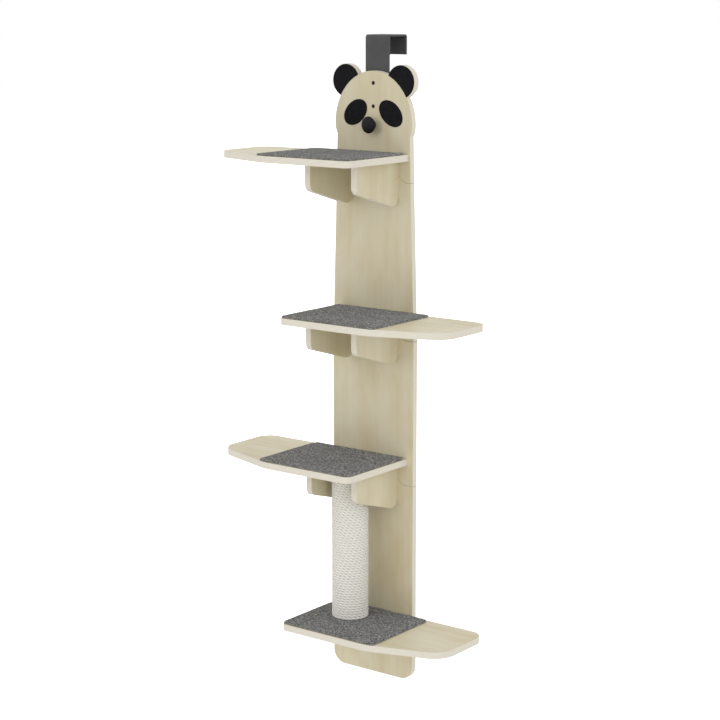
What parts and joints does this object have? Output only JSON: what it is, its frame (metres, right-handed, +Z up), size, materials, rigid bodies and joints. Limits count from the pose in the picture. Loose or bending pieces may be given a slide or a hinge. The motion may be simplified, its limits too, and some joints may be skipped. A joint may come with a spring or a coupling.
{
  "type": "door hanging cat climber",
  "caption": "Tall plywood climber for cats that hangs from the top edge of a door by a steel hook, with carpeted shelves, a rope-wound scratching post and an animal-head top.",
  "frame": {"origin": "middle of the hook's seat on the door's top edge, in the middle of the door's thickness", "axes": "+X to the right for someone who faces the climber, +Y into the door, away from the shelves, +Z up"},
  "size_m": [0.638, 0.3055, 1.49],
  "materials": {
    "birch_ply": "clear satin varnish",
    "grey_carpet": "heathered needle-punched carpet",
    "black_felt": "matte felt",
    "black_knob": "satin black paint",
    "cotton_rope": "twisted three-strand rope",
    "black_steel": "satin dark grey powder coat",
    "bolt_steel": "blackened",
    "zinc_steel": "zinc plated",
    "foam": "closed-cell foam",
    "card_tube": "spiral-wound paper board"
  },
  "bodies": {
    "root": {"over_door_hook": "black_steel", "hook_pads": "foam", "hook_bolts": "bolt_steel", "head_panel": "birch_ply", "upper_panel": "birch_ply", "middle_panel": "birch_ply", "lower_panel": "birch_ply", "left_ear_patch": "black_felt", "right_ear_patch": "black_felt", "left_eye_patch": "black_felt", "right_eye_patch": "black_felt", "nose_knob": "black_knob", "nose_screw": "zinc_steel", "shelf_1": "birch_ply", "shelf_2": "birch_ply", "shelf_3": "birch_ply", "shelf_4": "birch_ply", "mat_1": "grey_carpet", "mat_2": "grey_carpet", "mat_3": "grey_carpet", "mat_4": "grey_carpet", "bracket_1_left": "birch_ply", "bracket_1_right": "birch_ply", "bracket_2_left": "birch_ply", "bracket_2_right": "birch_ply", "bracket_3_left": "birch_ply", "bracket_3_right": "birch_ply", "shelf_rear_screws": "zinc_steel", "bracket_rear_screws": "zinc_steel", "bracket_top_screws": "zinc_steel", "post_tube": "card_tube", "post_top_disc": "birch_ply", "post_bottom_disc": "birch_ply", "post_inserts": "zinc_steel", "post_bolts": "zinc_steel", "rope_winding": "cotton_rope", "back_pads": "foam"}
  },
  "joints": []
}
